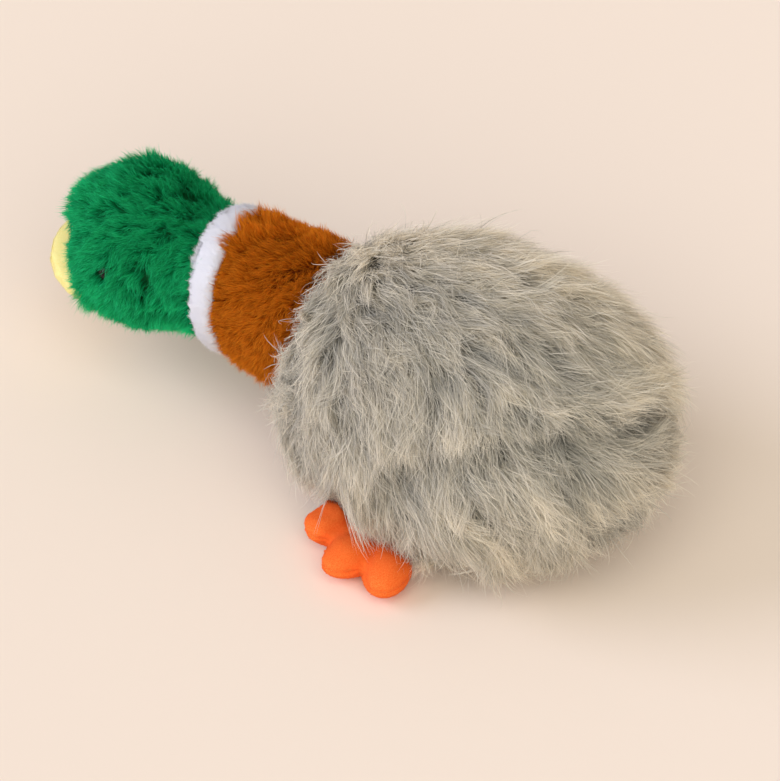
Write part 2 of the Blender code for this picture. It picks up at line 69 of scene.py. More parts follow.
# Joints and seams that the looks follow
NECK_PIVOT = Vector((0, -24.255, 68)) * MM
HEAD_PIVOT = Vector((0, -62.255, 66.2)) * MM
BILL_CENTRE = Vector((0, -127.514, 42.724)) * MM
BILL_RISE = math.radians(14)
EYE_RADIUS = 4 * MM
NECK_BALL_RADIUS = 34 * MM
BACK_SEAM_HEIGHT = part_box("back_panel")[0].z
FOOT_SEAM_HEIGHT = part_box("left_foot_top")[0].z

# Directions on the duck, and its mirror image
UPWARD = Vector((0, 0, 1))
LEFTWARD = Vector((1, 0, 0))
AHEAD = np.array([0, -1, 0])
MIRROR = np.array([-1, 1, 1])


# Picture and directions


def picture_axes():
    """Right, up and towards the camera in the photograph's view."""
    towards = Vector((
        math.cos(ELEVATION) * math.sin(AZIMUTH),
        -math.cos(ELEVATION) * math.cos(AZIMUTH),
        math.sin(ELEVATION),
    ))
    right = UPWARD.cross(towards).normalized()
    return right, towards.cross(right), towards


RIGHT_WAY, UP_WAY, TOWARDS = picture_axes()


def in_picture(points):
    """Where points of the duck are in the photograph, in pixels."""
    offsets = points - np.array(PICTURE_PLACE)
    across = PICTURE_POINT[0] + offsets @ np.array(RIGHT_WAY) / PIXEL
    down = PICTURE_POINT[1] - offsets @ np.array(UP_WAY) / PIXEL
    return np.stack([across, down], axis=1)


def unit(vectors):
    return vectors / np.maximum(np.linalg.norm(vectors, axis=-1, keepdims=True), 1e-9)


def smooth(share):
    share = np.clip(share, 0, 1)
    return share * share * (3 - 2 * share)


# Camera, floor and light

FLOOR_COLOUR = (0.885, 0.75, 0.64)
FLOOR_HALF = 3

# The floor as it renders in the open, seen beyond its edge
LIT_FLOOR = (0.93, 0.785, 0.67)

SURROUND_COLOUR = (1, 0.94, 0.88)
SURROUND_STRENGTH = 0.45

# Each lamp has the way towards it, its energy, its colour and its width in degrees. With the surround they
# light a level white sheet to white.
SOFT_LAMPS = (
    ("key_lamp", (0.484, -0.718, 0.5), 1.7, (0.72, 0.78, 1), 40),
    ("fill_lamp", (0.586, 0.395, 0.707), 1.8, (1, 1, 0.92), 70),
)


def make_camera():
    centre = (PICTURE_SIZE[0] / 2, PICTURE_SIZE[1] / 2)
    aim = PICTURE_PLACE + RIGHT_WAY * (centre[0] - PICTURE_POINT[0]) * PIXEL
    aim = aim - UP_WAY * (centre[1] - PICTURE_POINT[1]) * PIXEL
    data = bpy.data.cameras.new("camera")
    data.sensor_width = SENSOR
    data.lens = SENSOR * CAMERA_DISTANCE / (PICTURE_SIZE[0] * PIXEL)
    data.clip_end = CAMERA_REACH
    camera = bpy.data.objects.new("camera", data)
    bpy.context.scene.collection.objects.link(camera)
    turn = Matrix((RIGHT_WAY, UP_WAY, TOWARDS)).transposed()
    camera.matrix_world = Matrix.Translation(aim + TOWARDS * CAMERA_DISTANCE) @ turn.to_4x4()
    bpy.context.scene.camera = camera


def make_light():
    """Wide soft lamps from the left of the picture and from the camera, and an even and warmer surround."""
    scene = bpy.context.scene
    scene.view_settings.view_transform = "Standard"
    world = bpy.data.worlds.new("studio")
    world.use_nodes = True
    scene.world = world
    nodes, links = world.node_tree.nodes, world.node_tree.links
    surround = nodes["Background"]
    surround.inputs["Color"].default_value = (*SURROUND_COLOUR, 1)
    surround.inputs["Strength"].default_value = SURROUND_STRENGTH
    seen = nodes.new("ShaderNodeBackground")
    seen.inputs["Color"].default_value = (*LIT_FLOOR, 1)
    seen.inputs["Strength"].default_value = 1
    path = nodes.new("ShaderNodeLightPath")
    either = nodes.new("ShaderNodeMath")
    either.operation = "MAXIMUM"
    links.new(path.outputs["Is Camera Ray"], either.inputs[0])
    links.new(path.outputs["Is Glossy Ray"], either.inputs[1])
    mix = nodes.new("ShaderNodeMixShader")
    links.new(either.outputs[0], mix.inputs[0])
    links.new(surround.outputs[0], mix.inputs[1])
    links.new(seen.outputs[0], mix.inputs[2])
    links.new(mix.outputs[0], nodes["World Output"].inputs[0])

    for name, way, energy, colour, width in SOFT_LAMPS:
        lamp = bpy.data.lights.new(name, "SUN")
        lamp.angle = math.radians(width)
        lamp.energy = energy
        lamp.color = colour
        item = bpy.data.objects.new(name, lamp)
        item.rotation_euler = Vector(way).to_track_quat("Z", "Y").to_euler()
        scene.collection.objects.link(item)


def make_floor():
    corners = [(x * FLOOR_HALF, y * FLOOR_HALF, 0) for x, y in ((-1, -1), (1, -1), (1, 1), (-1, 1))]
    mesh = bpy.data.meshes.new("floor")
    mesh.from_pydata(corners, [], [(0, 1, 2, 3)])
    floor = linked(mesh, "floor")
    material, _, _, shader = new_material("floor_paper", roughness=0.9)
    shader.inputs["Base Color"].default_value = (*FLOOR_COLOUR, 1)
    shader.inputs["Specular IOR Level"].default_value = 0.1
    floor.data.materials.append(material)


# Materials

STRAND_ROUGHNESS = 0.8
STRAND_GLOSS = 0.12
BODY_COLOUR_AT = 0.45
CLOTH_ROUGHNESS = 0.95
CLOTH_GLOSS = 0.15
CLOTH_RELIEF = 0.5 * MM
PLASTIC_SHADE = 0.85

# Each kind of strand has its colours from root to tip, the dull and bright tones that multiply them, and the
# share of light that passes through it
# The dark roots are partly the fur's own colour and partly painted shade deep in the coat.
STRANDS = {
    "grey_strands": {
        "root": (0.228, 0.22, 0.193), "body": (0.625, 0.596, 0.532), "tip": (0.9, 0.85, 0.75),
        "dull": (0.55, 0.56, 0.565), "bright": (1.37, 1.345, 1.31), "through": 0.45,
    },
    "green_strands": {
        "root": (0, 0.07, 0.02), "body": (0, 0.33, 0.105), "tip": (0.015, 0.6, 0.24),
        "dull": (0.5, 0.56, 0.5), "bright": (3, 1.5, 1.6), "through": 0.45,
    },
    "brown_strands": {
        "root": (0.2, 0.026, 0), "body": (0.55, 0.12, 0), "tip": (0.78, 0.26, 0.012),
        "dull": (0.62, 0.55, 0.5), "bright": (1.35, 1.6, 2.5), "through": 0.45,
    },
    "white_strands": {
        "root": (0.83, 0.82, 0.86), "body": (0.89, 0.88, 0.92), "tip": (0.9, 0.89, 0.92),
        "dull": (0.97, 0.97, 0.98), "bright": (1, 1, 1), "through": 0.2,
    },
    "yellow_strands": {
        "root": (0.95, 0.84, 0.33), "body": (0.99, 0.91, 0.42), "tip": (1, 0.94, 0.52),
        "dull": (0.96, 0.96, 0.9), "bright": (1, 1, 1.1), "through": 0.2,
    },
    "orange_strands": {
        "root": (0.95, 0.16, 0.022), "body": (0.98, 0.2, 0.032), "tip": (0.99, 0.24, 0.045),
        "dull": (0.93, 0.68, 0.55), "bright": (1, 1.8, 2.5), "through": 0.3,
    },
}

# The grey, green and brown cloths are about as dark as the strand roots: partly their own colour, partly
# painted shade at the bottom of the coat, where partings show them.
CLOTHS = {
    "grey_cloth": {"dark": (0.2, 0.18, 0.15), "light": (0.26, 0.24, 0.2), "scale": 500, "bump": 0.6},
    "green_cloth": {"dark": (0.003, 0.075, 0.022), "light": (0.004, 0.11, 0.03), "scale": 500, "bump": 0.6},
    "brown_cloth": {"dark": (0.17, 0.03, 0.002), "light": (0.22, 0.04, 0.003), "scale": 500, "bump": 0.6},
    "white_cloth": {"dark": (0.86, 0.85, 0.9), "light": (0.95, 0.94, 0.98), "scale": 400, "bump": 0.4},
    "yellow_cloth": {"dark": (0.93, 0.79, 0.3), "light": (0.98, 0.88, 0.4), "scale": 900, "bump": 0.4},
    "orange_cloth": {"dark": (0.86, 0.13, 0.018), "light": (0.95, 0.19, 0.035), "scale": 1100, "bump": 0.2},
    "fibrefill": {"dark": (0.7, 0.7, 0.7), "light": (0.9, 0.9, 0.9), "scale": 250, "bump": 1.0},
}


def new_material(name, roughness):
    material = bpy.data.materials.new(name)
    material.use_nodes = True
    nodes, links = material.node_tree.nodes, material.node_tree.links
    shader = nodes["Principled BSDF"]
    shader.inputs["Roughness"].default_value = roughness
    return material, nodes, links, shader


def ramp(nodes, stops):
    made = nodes.new("ShaderNodeValToRGB")
    elements = made.color_ramp.elements
    while len(elements) < len(stops):
        elements.new(1)
    for element, (place, colour) in zip(elements, stops):
        element.position = place
        element.color = (*colour, 1)
    return made


def strand_material(name, root, body, tip, dull, bright, through):
    """Fur: each strand is pale at its tip and dark at its root, the root partly in painted shade, and has one
    tone between dull and bright.
    """
    material, nodes, links, shader = new_material(name, STRAND_ROUGHNESS)
    shader.inputs["Specular IOR Level"].default_value = STRAND_GLOSS
    place = nodes.new("ShaderNodeUVMap")
    place.uv_map = "OFBake"
    parts = nodes.new("ShaderNodeSeparateXYZ")
    links.new(place.outputs["UV"], parts.inputs[0])
    along = ramp(nodes, [(0, root), (BODY_COLOUR_AT, body), (1, tip)])
    links.new(parts.outputs["Y"], along.inputs["Fac"])
    tone = ramp(nodes, [(0, dull), (1, bright)])
    links.new(parts.outputs["X"], tone.inputs["Fac"])
    mix = nodes.new("ShaderNodeMix")
    mix.data_type = "RGBA"
    mix.blend_type = "MULTIPLY"
    mix.inputs["Factor"].default_value = 1
    links.new(along.outputs["Color"], mix.inputs["A"])
    links.new(tone.outputs["Color"], mix.inputs["B"])
    links.new(mix.outputs["Result"], shader.inputs["Base Color"])
    glow = nodes.new("ShaderNodeBsdfTranslucent")
    links.new(mix.outputs["Result"], glow.inputs["Color"])
    both = nodes.new("ShaderNodeMixShader")
    both.inputs[0].default_value = through
    links.new(shader.outputs[0], both.inputs[1])
    links.new(glow.outputs[0], both.inputs[2])
    links.new(both.outputs[0], nodes["Material Output"].inputs[0])
    return material


def cloth_material(name, dark, light, scale, bump):
    """A short-piled or woven fabric: one noise varies its colour and raises its surface."""
    material, nodes, links, shader = new_material(name, CLOTH_ROUGHNESS)
    shader.inputs["Specular IOR Level"].default_value = CLOTH_GLOSS
    place = nodes.new("ShaderNodeTexCoord")
    fine = nodes.new("ShaderNodeTexNoise")
    fine.inputs["Scale"].default_value = scale
    fine.inputs["Detail"].default_value = 5
    fine.inputs["Roughness"].default_value = 0.65
    links.new(place.outputs["Object"], fine.inputs["Vector"])
    tint = ramp(nodes, [(0.3, dark), (0.7, light)])
    links.new(fine.outputs["Fac"], tint.inputs["Fac"])
    links.new(tint.outputs["Color"], shader.inputs["Base Color"])
    raised = nodes.new("ShaderNodeBump")
    raised.inputs["Strength"].default_value = bump
    raised.inputs["Distance"].default_value = CLOTH_RELIEF
    links.new(fine.outputs["Fac"], raised.inputs["Height"])
    links.new(raised.outputs["Normal"], shader.inputs["Normal"])
    return material


def make_materials():
    """Every finish of the soft pieces, by name."""
    made = {name: strand_material(name, **look) for name, look in STRANDS.items()}
    made.update({name: cloth_material(name, **look) for name, look in CLOTHS.items()})
    return made


def plastic_material(name, colour, roughness, grain, gloss=0.5):
    """A moulded plastic: one noise shades its colour a little."""
    material, nodes, links, shader = new_material(name, roughness)
    shader.inputs["Specular IOR Level"].default_value = gloss
    place = nodes.new("ShaderNodeTexCoord")
    noise = nodes.new("ShaderNodeTexNoise")
    noise.inputs["Scale"].default_value = grain
    links.new(place.outputs["Object"], noise.inputs["Vector"])
    darker = tuple(PLASTIC_SHADE * value for value in colour)
    tint = ramp(nodes, [(0.35, darker), (0.65, colour)])
    links.new(noise.outputs["Fac"], tint.inputs["Fac"])
    links.new(tint.outputs["Color"], shader.inputs["Base Color"])
    return material


def repaint(node, material):
    """Gives a finish to a CAD node that shows as it is."""
    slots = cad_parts[node].data.materials
    slots.clear()
    slots.append(material)


# Covers: the outside of CAD solids as one smooth skin, split along its seams

FLOOR_GAP = 0.3 * MM
FILLING_VOXEL = 3 * MM
SEAM_REACH = 1.2 * MM


def linked(mesh, name):
    made = bpy.data.objects.new(name, mesh)
    bpy.context.scene.collection.objects.link(made)
    return made


def applied(item):
    """Turns an object's modifiers into its mesh."""
    bpy.context.view_layer.update()
    graph = bpy.context.evaluated_depsgraph_get()
    mesh = bpy.data.meshes.new_from_object(item.evaluated_get(graph))
    item.modifiers.clear()
    item.data = mesh
    return item


def largest_island(mesh):
    """Keeps the tallest island of a mesh, which is the outside."""
    bm = bmesh.new()
    bm.from_mesh(mesh)
    bm.verts.ensure_lookup_table()
    left = set(bm.verts)
    islands = []
    while left:
        stack = [left.pop()]
        island = []
        while stack:
            vertex = stack.pop()
            island.append(vertex)
            for edge in vertex.link_edges:
                other = edge.other_vert(vertex)
                if other in left:
                    left.remove(other)
                    stack.append(other)
        islands.append(island)
    outside = max(islands, key=lambda island: max(v.co.z for v in island) - min(v.co.z for v in island))
    spare = [vertex for island in islands if island is not outside for vertex in island]
    bmesh.ops.delete(bm, geom=spare, context="VERTS")
    bm.to_mesh(mesh)
    bm.free()


def skin(name, nodes, voxel, rounds, swell=0.0):
    """The closed outside of CAD nodes at rest, remeshed and smoothed, then moved out by swell."""
    bm = bmesh.new()
    for node in nodes:
        bm.from_mesh(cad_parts[node].data)
    mesh = bpy.data.meshes.new(name)
    bm.to_mesh(mesh)
    bm.free()
    item = linked(mesh, name)
    remesh = item.modifiers.new("remesh", "REMESH")
    remesh.mode = "VOXEL"
    remesh.voxel_size = voxel
    applied(item)
    largest_island(item.data)
    relax = item.modifiers.new("relax", "SMOOTH")
    relax.iterations = rounds
    relax.factor = 0.5
    applied(item)
    points = mesh_points(item.data)
    normals = np.zeros(len(item.data.vertices) * 3)
    item.data.vertices.foreach_get("normal", normals)
    place_points(item.data, points + normals.reshape(-1, 3) * swell)
    for polygon in item.data.polygons:
        polygon.use_smooth = True
    return item


def mesh_points(mesh):
    points = np.zeros(len(mesh.vertices) * 3)
    mesh.vertices.foreach_get("co", points)
    return points.reshape(-1, 3)


def place_points(mesh, points):
    mesh.vertices.foreach_set("co", points.ravel())
    mesh.update()


def half(item, name, point, normal, thickness):
    """The part of a skin ahead of a plane, as a cover of its own thickness."""
    mesh = item.data.copy()
    bm = bmesh.new()
    bm.from_mesh(mesh)
    geometry = bm.verts[:] + bm.edges[:] + bm.faces[:]
    bmesh.ops.bisect_plane(bm, geom=geometry, plane_co=point, plane_no=normal, clear_inner=True)
    bm.to_mesh(mesh)
    bm.free()
    made = linked(mesh, name)
    wall = made.modifiers.new("wall", "SOLIDIFY")
    wall.thickness = thickness
    wall.offset = -1
    return applied(made)


def finished(item, body, material, slot, *replaced, fill=None):
    """Gives a piece its finish and its body, and hides the CAD nodes that it stands for. Its slot and its
    padding are not used.
    """
    item.data.materials.clear()
    item.data.materials.append(material)
    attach(item, body)
    if replaced:
        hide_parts(*replaced)


def pressed(item, strokes):
    """Moves a skin in or out along its normals, as the strokes say."""
    shape = Ground(item)
    rise = stroke_sum(strokes, "rise", shape.points, shape.normals) * MM
    place_points(item.data, shape.points + shape.normals * rise[:, None])


def above_floor(item):
    """Lifts the underside of a skin just off the floor."""
    place_points(item.data, mesh_points(item.data).clip(min=(-1, -1, FLOOR_GAP)))


def sewn(item, point, normal, depth):
    """Draws a skin in along the seam where a plane cuts it."""
    shape = Ground(item)
    gap = (shape.points - np.array(point)) @ np.array(normal)
    drawn = depth * np.exp(-((gap / SEAM_REACH) ** 2))
    place_points(item.data, shape.points - shape.normals * drawn[:, None])


def filling(node, body, material, strokes, swell):
    """Loose fibrefill in place of a stuffing solid, a little smaller and lumpy."""
    made = skin(f"{node}_fill", [node], FILLING_VOXEL, rounds=4, swell=swell)
    pressed(made, strokes)
    finished(made, body, material, "fibrefill", node, fill=0.7)


# Fur

# How much of its heading a strand keeps at each step, and how far along it the strokes are looked up
HEADING_KEPT = 0.65
OUTER_HALF = 0.6

# No strand goes below the lowest height, and one that leaves the room is left out
LOWEST_STRAND = 0.4 * MM
FUR_ROOM = ((-0.0865, -0.1585, 0), (0.0865, 0.1698, 0.1395))

# Combing: how softly its rows blend, and where the seen side fades into the mirrored one
COMB_REACH = 15.0
LEAST_FACING = 0.4
SEEN_FROM = -0.25
SEEN_FADE = 0.4

# How unlike guides, strands and ribbons are, and how far strokes may change a length
LENGTH_SPREAD = (0.8, 1.15)
LENGTH_CHANGE = (0.25, 1.8)
LOOSE_DRAWN = 0.2
FRIZZ_SPREAD = 0.35
BEND_SHARE = 0.6
TIP_POWER = 1.5
DENSE_TWIST = 0.15
LOOSE_TWIST = 0.6
WIDTH_SPREAD = (0.7, 1.25)

# A loose strand has a tone of its own, and another shares a part of it with its clump
MIDDLE_TONE = 0.45
LOOSE_TONE = (0.35, 0.6)
CLUMP_TONE = 0.9
OWN_SHARE = 0.6
BRIGHTEST = 0.98

# Short plush pile, and the nap that is hardly seen as strands
PILE = {
    "clump_size": 1.5 * MM, "length_range": (0.7, 1.1), "lift_jitter": 0.2, "clump": (0.05, 0.5),
    "frizz": 0.5 * MM, "loose": 0.25, "fly": 0.3 * MM, "width": 0.25 * MM, "steps": 3, "turn": 0.35,
    "curl": 0.5, "stray": 1.9,
}
NAP = {
    "length_range": (0.7, 1.1), "lift_wander": 0.1, "lift_scale": 8 * MM, "lift_jitter": 0.1, "dense": True,
    "clump": (0.0, 0.2), "loose": 0.1, "fly": 0, "steps": 2, "turn": 0.3, "curl": 0.3, "stray": 1.9,
}


def within_room(paths):
    """Which strands stay inside the room that fur may stand proud of the solids."""
    low, high = (np.array(corner) for corner in FUR_ROOM)
    return ((paths > low) & (paths < high)).all(axis=(1, 2))


class Ground:
    """The skin that a coat grows from: its triangles for scattering roots, and its nearest surface."""

    def __init__(self, item):
        mesh = item.data
        mesh.calc_loop_triangles()
        self.points = mesh_points(mesh)
        normals = np.zeros(len(mesh.vertices) * 3)
        mesh.vertices.foreach_get("normal", normals)
        self.normals = normals.reshape(-1, 3)
        triangles = np.zeros(len(mesh.loop_triangles) * 3, dtype=np.int64)
        mesh.loop_triangles.foreach_get("vertices", triangles)
        self.triangles = triangles.reshape(-1, 3)
        corners = self.points[self.triangles]
        crossed = np.cross(corners[:, 1] - corners[:, 0], corners[:, 2] - corners[:, 0])
        areas = np.linalg.norm(crossed, axis=1) / 2
        self.area = areas.sum()
        self.share = np.cumsum(areas) / self.area
        self.tree = BVHTree.FromPolygons(self.points.tolist(), self.triangles.tolist())

    def scatter(self, density, keep, rng):
        """Random roots, density of them to a square metre, where keep says so."""
        count = int(self.area * density)
        picked = self.triangles[np.searchsorted(self.share, rng.random(count))]
        first, second = rng.random((2, count))
        over = first + second > 1
        first[over], second[over] = 1 - first[over], 1 - second[over]
        weights = np.stack([1 - first - second, first, second], axis=1)[:, :, None]
        points = (self.points[picked] * weights).sum(axis=1)
        normals = unit((self.normals[picked] * weights).sum(axis=1))
        kept = keep(points, normals)
        return points[kept], normals[kept]

    def nearest(self, points):
        found = [self.tree.find_nearest(point)[:2] for point in points.tolist()]
        return np.array([place for place, _ in found]), np.array([way for _, way in found])


def waves(points, scale, seed, count=5):
    """Smooth made-up unevenness between about -1 and 1, as long as scale."""
    rng = np.random.default_rng(seed)
    total = np.zeros(len(points))
    for _ in range(count):
        way = unit(rng.normal(size=3)) * 2 * math.pi / scale * rng.uniform(0.6, 1.5)
        total += np.sin(points @ way + rng.uniform(0, 2 * math.pi))
    return total / math.sqrt(count)


def combed(table, points, normals, wander, wander_scale, seed):
    """Tangents that lie as the table's angles say, seen in the photograph.

    Each row of the table is a place in the picture in pixels, and the angle there, clockwise from the right.
    The side that the camera doesn't see is combed as a mirror of the side that it does.
    """
    right, up, towards = (np.array(way) for way in (RIGHT_WAY, UP_WAY, TOWARDS))
    rows = np.array(table, dtype=float)
    angles = np.radians(rows[:, 2])

    def direct(places, outward):
        spots = in_picture(places)
        gaps = ((spots[:, None, :] - rows[None, :, :2]) ** 2).sum(axis=2)
        weights = 1 / (gaps + COMB_REACH**2) ** 1.5
        cosine = (weights * np.cos(angles)).sum(axis=1)
        sine = (weights * np.sin(angles)).sum(axis=1)
        turned = np.arctan2(sine, cosine) + wander * waves(places, wander_scale, seed)
        way = np.cos(turned)[:, None] * right - np.sin(turned)[:, None] * up
        facing = np.maximum(outward @ towards, LEAST_FACING)
        return way - ((way * outward).sum(axis=1) / facing)[:, None] * towards

    seen = smooth((normals @ towards - SEEN_FROM) / SEEN_FADE)[:, None]
    way = seen * direct(points, normals) + (1 - seen) * direct(points * MIRROR, normals * MIRROR) * MIRROR
    way = way - (way * normals).sum(axis=1, keepdims=True) * normals
    return unit(way)


def stroke(reach, line, **changes):
    """A line in the picture along which a coat differs, fading over reach in pixels.

    The changes are length (a share more or less), lift and mess (radians), tone (0 is none, 1 the full
    range), bare (the share of strands left out) and rise (how much higher the skin is, in millimetres).
    """
    return {"reach": reach, "line": np.array(line, dtype=float), **changes}


def line_gap(spots, line):
    """How far places in the picture are from a line of points."""
    if len(line) == 1:
        return np.linalg.norm(spots - line[0], axis=1)
    gaps = []
    for start, end in zip(line[:-1], line[1:]):
        run = end - start
        share = np.clip(((spots - start) @ run) / (run @ run), 0, 1)
        gaps.append(np.linalg.norm(spots - start - share[:, None] * run, axis=1))
    return np.min(gaps, axis=0)


def stroke_sum(strokes, kind, points, normals):
    """How much all strokes together change one thing at each point. The hidden side has them mirrored."""
    hidden = normals @ np.array(TOWARDS) < 0
    spots = in_picture(np.where(hidden[:, None], points * MIRROR, points))
    total = np.zeros(len(points))
    for row in strokes:
        if kind in row:
            total += row[kind] * np.exp(-((line_gap(spots, row["line"]) / row["reach"]) ** 2))
    return total


def grown(ground, roots, normals, flow, lengths, lifts, turns, steps):
    """Paths of guide strands: they leave at one angle to the skin and end at another, and follow its curve.

    lifts and turns are pairs of arrays, for the root and the tip: the angle to the skin, and the angle aside
    from the combing direction.
    """
    path = [roots]
    point = roots.copy()
    outward = normals.copy()
    heading = flow(point, outward)
    for step in range(steps):
        share = (step + 0.5) / steps
        heading = unit(HEADING_KEPT * heading + (1 - HEADING_KEPT) * flow(point, outward))
        way = unit(heading - (heading * outward).sum(axis=1, keepdims=True) * outward)
        aside = (turns[0] + (turns[1] - turns[0]) * share)[:, None]
        way = way * np.cos(aside) + np.cross(outward, way) * np.sin(aside)
        angle = (lifts[0] + (lifts[1] - lifts[0]) * share)[:, None]
        point = point + (np.cos(angle) * way + np.sin(angle) * outward) * (lengths / steps)[:, None]
        point[:, 2] = np.maximum(point[:, 2], LOWEST_STRAND)
        path.append(point)
        outward = unit(0.5 * outward + ground.nearest(point)[1])
    return np.stack(path, axis=1)


def strands(guides, roots, normals, rng, spec):
    """Strands from roots along the three nearest guides, drawn together towards the tip of the nearest.

    A share of them is loose: they are hardly drawn together, bend more and fly out from the coat.
    """
    tree = KDTree(len(guides))
    for index, guide in enumerate(guides[:, 0].tolist()):
        tree.insert(guide, index)
    tree.balance()
    found = [tree.find_n(root, 3) for root in roots.tolist()]
    index = np.array([[entry[1] for entry in entries] for entries in found])
    gap = np.array([[entry[2] for entry in entries] for entries in found])
    weights = 1 / (gap + 1 * MM) ** 2
    weights /= weights.sum(axis=1, keepdims=True)
    moves = guides - guides[:, :1]
    outward = spec["fly"] * np.abs(rng.normal(size=len(roots)))
    move = (moves[index] * weights[:, :, None, None]).sum(axis=1)
    count = len(roots)
    share = np.linspace(0, 1, guides.shape[1])
    scale = rng.uniform(*spec["length_range"], size=count)
    loose = rng.random(count) < spec["loose"]
    paths = roots[:, None, :] + move * scale[:, None, None]
    nearest = index[:, 0]
    strength = rng.uniform(*spec["clump"], size=len(guides))[nearest] * np.where(loose, LOOSE_DRAWN, 1)
    target = guides[nearest, :1] + moves[nearest] * scale[:, None, None]
    drawn = (strength[:, None] * smooth(share)[None, :])[:, :, None]
    paths = paths + (target - paths) * drawn
    uneven = rng.lognormal(0, FRIZZ_SPREAD, size=count)
    frizz = (spec["frizz"] * uneven * np.where(loose, spec["stray"], 1))[:, None]
    stray = rng.normal(size=(count, 3)) * frizz
    bend = rng.normal(size=(count, 3)) * frizz * BEND_SHARE
    paths += stray[:, None, :] * (share**TIP_POWER)[None, :, None]
    paths += bend[:, None, :] * np.sin(math.pi * share)[None, :, None]
    paths += normals[:, None, :] * (outward * loose)[:, None, None] * (share**TIP_POWER)[None, :, None]
    paths[:, :, 2] = np.maximum(paths[:, :, 2], LOWEST_STRAND)
    return paths, loose, nearest


def ribbons(name, paths, normals, tone, width, rng, dense):
    """One mesh of pointed ribbons, with a map that runs from root to tip and gives each strand its tone.

    A dense pile is lit as the skin under it, because it has no gaps for shade.
    """
    count, points = paths.shape[:2]
    run = unit(paths[:, -1] - paths[:, 0])
    side = unit(np.cross(run, normals))
    twist = rng.normal(0, DENSE_TWIST if dense else LOOSE_TWIST, size=count)[:, None]
    side = side * np.cos(twist) + np.cross(run, side) * np.sin(twist)
    share = np.linspace(0, 1, points)
    taper = np.minimum(1, 0.55 + 1.5 * share) * (1 - 0.85 * share**2.2)
    thick = width * rng.uniform(*WIDTH_SPREAD, size=count)
    offset = (side[:, None, :] * (thick[:, None] * taper[None, :])[:, :, None] / 2)[:, :-1]
    edges = np.stack([paths[:, :-1] - offset, paths[:, :-1] + offset], axis=2).reshape(count, -1, 3)
    corners = np.concatenate([edges, paths[:, -1:]], axis=1)
    per_strand = corners.shape[1]
    quads = points - 2
    first = np.arange(quads)[:, None] * 2 + np.array([0, 1, 3, 2])[None, :]
    order = np.concatenate([first.ravel(), [2 * quads, 2 * quads + 1, 2 * quads + 2]])
    loops = (np.arange(count)[:, None] * per_strand + order[None, :]).ravel()
    starts = (np.arange(count)[:, None] * len(order) + np.arange(quads + 1)[None, :] * 4).ravel()
    mesh = bpy.data.meshes.new(name)
    mesh.vertices.add(count * per_strand)
    mesh.vertices.foreach_set("co", corners.ravel())
    mesh.loops.add(len(loops))
    mesh.loops.foreach_set("vertex_index", loops)
    mesh.polygons.add(len(starts))
    mesh.polygons.foreach_set("loop_start", starts)
    mesh.update(calc_edges=True)
    places = np.zeros((count, per_strand, 2))
    places[:, :, 0] = tone[:, None] + 0.02 * (np.arange(per_strand) % 2)[None, :]
    places[:, :, 1] = np.append(np.repeat(share[:-1], 2), 1)[None, :]
    layer = mesh.uv_layers.new(name="OFBake")
    layer.data.foreach_set("uv", places.reshape(-1, 2)[loops].ravel())
    mesh.polygons.foreach_set("use_smooth", np.ones(len(starts), dtype=bool))
    if dense:
        mesh.normals_split_custom_set_from_vertices(np.repeat(normals, per_strand, axis=0))
    return linked(mesh, name)


def coat(name, ground, body, material, slot, keep, flow, spec, strokes=(), split=None, seed=0):
    """A whole coat on one skin: guides, then strands, then one piece of ribbons for each part of the split.

    A stroke acts on the strands whose outer half lies on it, so it is looked up part of the way along them.
    The spec gives density in strands to a square metre, the lift at the root and the tip, how far strands are
    drawn to their clump, the share that is loose, and how far those fly out and stray.
    """
    rng = np.random.default_rng(SEED + seed)
    guide_roots, guide_normals = ground.scatter(1 / spec["clump_size"] ** 2, keep, rng)
    count = len(guide_roots)
    lengths = spec["length"] * spec.get("length_at", lambda p: np.ones(len(p)))(guide_roots)
    seen_at = guide_roots + flow(guide_roots, guide_normals) * (OUTER_HALF * lengths)[:, None]
    change = {
        kind: stroke_sum(strokes, kind, seen_at, guide_normals) for kind in ("length", "lift", "mess")
    }
    lengths = lengths * rng.uniform(*LENGTH_SPREAD, size=count) * (1 + change["length"]).clip(*LENGTH_CHANGE)
    uneven = waves(guide_roots, spec["lift_scale"], seed + 3) * spec["lift_wander"]
    jitter = rng.normal(0, spec["lift_jitter"], size=count)
    lifts = [np.full(count, spec["lift"][0]), spec["lift"][1] + jitter + uneven + change["lift"]]
    turned = rng.normal(size=count) * (spec["turn"] + change["mess"])
    turns = [turned, turned + rng.normal(size=count) * (spec["curl"] + 2 * change["mess"])]
    guides = grown(ground, guide_roots, guide_normals, flow, lengths, lifts, turns, spec["steps"])
    roots, normals = ground.scatter(spec["density"], keep, rng)
    paths, loose, nearest = strands(guides, roots, normals, rng, spec)
    own = rng.random(len(roots))
    shared = rng.random(count)[nearest]
    in_clump = CLUMP_TONE * (OWN_SHARE * own + (1 - OWN_SHARE) * shared)
    tone = np.where(loose, LOOSE_TONE[0] + LOOSE_TONE[1] * own, in_clump)
    tone = MIDDLE_TONE + (tone - MIDDLE_TONE) * spec.get("variety", 1)
    outer = [paths[:, (paths.shape[1] + 1) // 2], paths[:, -1]]
    tone = (tone + stroke_sum(strokes, "tone", outer[0], normals)).clip(0, BRIGHTEST)
    bare = np.max([stroke_sum(strokes, "bare", places, normals) for places in outer], axis=0)
    kept = within_room(paths) & (rng.random(len(roots)) >= bare)
    roots, normals, paths, tone = roots[kept], normals[kept], paths[kept], tone[kept]
    parts = split(roots) if split else {name: np.ones(len(roots), dtype=bool)}
    dense = spec.get("dense", False)
    for part, chosen in parts.items():
        piece = ribbons(part, paths[chosen], normals[chosen], tone[chosen], spec["width"], rng, dense)
        finished(piece, body, material, slot)
